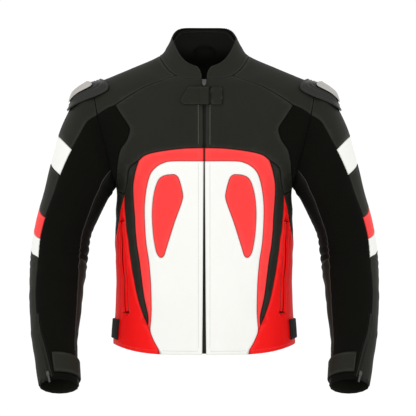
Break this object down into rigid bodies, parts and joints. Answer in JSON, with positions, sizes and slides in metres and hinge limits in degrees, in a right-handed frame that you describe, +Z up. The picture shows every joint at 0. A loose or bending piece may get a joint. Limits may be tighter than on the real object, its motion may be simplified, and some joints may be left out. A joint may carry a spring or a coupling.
{
  "type": "leather riding jacket",
  "caption": "Men's leather riding jacket of sewn panels with a front zip, stretch sleeves, shoulder cups and strapped cuffs.",
  "frame": {"origin": "under the crown of the hanger loop, inside the back of the neck", "axes": "+Z up, -Y the way the wearer faces, +X to the wearer's left"},
  "size_m": [0.6984, 0.287, 0.7308],
  "materials": {
    "black_leather": "fine grain, semi-matt",
    "red_leather": "fine grain, satin",
    "white_leather": "fine grain, satin",
    "stretch_fabric": "matt woven stretch cloth",
    "lining_fabric": "matt mesh cloth",
    "dark_steel": "dark plated",
    "grey_metal": "brushed",
    "zip_plastic": "moulded"
  },
  "bodies": {
    "torso": {"left_chest_panel": "black_leather", "left_armhole_stretch": "stretch_fabric", "left_shoulder_yoke": "black_leather", "left_arch_band": "red_leather", "left_side_band": "black_leather", "left_front_panel": "white_leather", "left_chest_insert": "red_leather", "left_side_panel": "red_leather", "left_back_side_panel": "black_leather", "left_zip_tape": "zip_plastic", "left_pocket_zip": "zip_plastic", "right_chest_panel": "black_leather", "right_armhole_stretch": "stretch_fabric", "right_shoulder_yoke": "black_leather", "right_arch_band": "red_leather", "right_side_band": "black_leather", "right_front_panel": "white_leather", "right_chest_insert": "red_leather", "right_side_panel": "red_leather", "right_back_side_panel": "black_leather", "right_zip_tape": "zip_plastic", "right_pocket_zip": "zip_plastic", "back_panel": "black_leather", "collar": "black_leather", "lining": "lining_fabric", "hanger_loop": "lining_fabric", "trouser_zip": "zip_plastic", "wind_flap": "black_leather", "neck_tab_base": "black_leather"},
    "zip_slider_body": {"zip_slider": "dark_steel"},
    "zip_puller_body": {"zip_puller": "dark_steel"},
    "neck_tab_body": {"neck_tab": "black_leather"},
    "left_upper_arm": {"left_sleeve_outer": "black_leather", "left_upper_white_band": "white_leather", "left_red_band": "red_leather", "left_lower_white_band": "white_leather", "left_sleeve_stretch": "stretch_fabric", "left_sleeve_inner": "black_leather", "left_shoulder_cup": "black_leather", "left_cup_insert": "grey_metal"},
    "left_forearm": {"left_forearm_leather": "black_leather", "left_forearm_stretch": "stretch_fabric"},
    "left_pocket_slider_body": {"left_pocket_slider": "dark_steel"},
    "left_waist_strap_body": {"left_waist_strap": "black_leather"},
    "left_cuff_strap_body": {"left_cuff_strap": "black_leather"},
    "left_cuff_slider_body": {"left_cuff_slider": "dark_steel"},
    "right_upper_arm": {"right_sleeve_outer": "black_leather", "right_upper_white_band": "white_leather", "right_red_band": "red_leather", "right_lower_white_band": "white_leather", "right_sleeve_stretch": "stretch_fabric", "right_sleeve_inner": "black_leather", "right_shoulder_cup": "black_leather", "right_cup_insert": "grey_metal"},
    "right_forearm": {"right_forearm_leather": "black_leather", "right_forearm_stretch": "stretch_fabric"},
    "right_pocket_slider_body": {"right_pocket_slider": "dark_steel"},
    "right_waist_strap_body": {"right_waist_strap": "black_leather"},
    "right_cuff_strap_body": {"right_cuff_strap": "black_leather"},
    "right_cuff_slider_body": {"right_cuff_slider": "dark_steel"}
  },
  "joints": [
    {"name": "main_zip", "type": "slide", "parent": "torso", "child": "zip_slider_body", "axis": [0, -0.0437, -0.999], "range_m": [0, 0.525]},
    {"name": "zip_puller_swing", "type": "hinge", "parent": "zip_slider_body", "child": "zip_puller_body", "pos_m": [0, -0.14355, -0.07225], "axis": [-1, 0, 0], "range_deg": [0, 100]},
    {"name": "neck_tab_fold", "type": "hinge", "parent": "torso", "child": "neck_tab_body", "pos_m": [0.0106, -0.14506, -0.10241], "axis": [0, 0.0437, 0.999], "range_deg": [0, 110]},
    {"name": "left_shoulder_raise", "type": "hinge", "parent": "torso", "child": "left_upper_arm", "pos_m": [0.183, -0.042, -0.06], "axis": [0, -1, 0], "range_deg": [0, 45]},
    {"name": "left_elbow_bend", "type": "hinge", "parent": "left_upper_arm", "child": "left_forearm", "pos_m": [0.29163, -0.10791, -0.41995], "axis": [-1, 0, 0], "range_deg": [0, 60]},
    {"name": "left_cuff_strap_fold", "type": "hinge", "parent": "left_forearm", "child": "left_cuff_strap_body", "pos_m": [0.2992, -0.18546, -0.62716], "axis": [0.1161, 0.3428, 0.9322], "range_deg": [0, 100]},
    {"name": "left_cuff_zip", "type": "slide", "parent": "left_forearm", "child": "left_cuff_slider_body", "axis": [0.2011, 0.4231, 0.8835], "range_m": [0, 0.115]},
    {"name": "left_pocket_zip_slide", "type": "slide", "parent": "torso", "child": "left_pocket_slider_body", "axis": [-0.041, -0.0868, -0.9954], "range_m": [0, 0.15]},
    {"name": "left_waist_strap_fold", "type": "hinge", "parent": "torso", "child": "left_waist_strap_body", "pos_m": [0.16783, 0.01919, -0.5675], "axis": [-0.0598, -0.0336, 0.9976], "range_deg": [0, 40]},
    {"name": "right_shoulder_raise", "type": "hinge", "parent": "torso", "child": "right_upper_arm", "pos_m": [-0.183, -0.042, -0.06], "axis": [0, 1, 0], "range_deg": [0, 45]},
    {"name": "right_elbow_bend", "type": "hinge", "parent": "right_upper_arm", "child": "right_forearm", "pos_m": [-0.29163, -0.10791, -0.41995], "axis": [-1, 0, 0], "range_deg": [0, 60]},
    {"name": "right_cuff_strap_fold", "type": "hinge", "parent": "right_forearm", "child": "right_cuff_strap_body", "pos_m": [-0.2992, -0.18546, -0.62716], "axis": [0.1161, -0.3428, -0.9322], "range_deg": [0, 100]},
    {"name": "right_cuff_zip", "type": "slide", "parent": "right_forearm", "child": "right_cuff_slider_body", "axis": [-0.2011, 0.4231, 0.8835], "range_m": [0, 0.115]},
    {"name": "right_pocket_zip_slide", "type": "slide", "parent": "torso", "child": "right_pocket_slider_body", "axis": [0.041, -0.0868, -0.9954], "range_m": [0, 0.15]},
    {"name": "right_waist_strap_fold", "type": "hinge", "parent": "torso", "child": "right_waist_strap_body", "pos_m": [-0.16783, 0.01919, -0.5675], "axis": [-0.0598, 0.0336, -0.9976], "range_deg": [0, 40]}
  ]
}
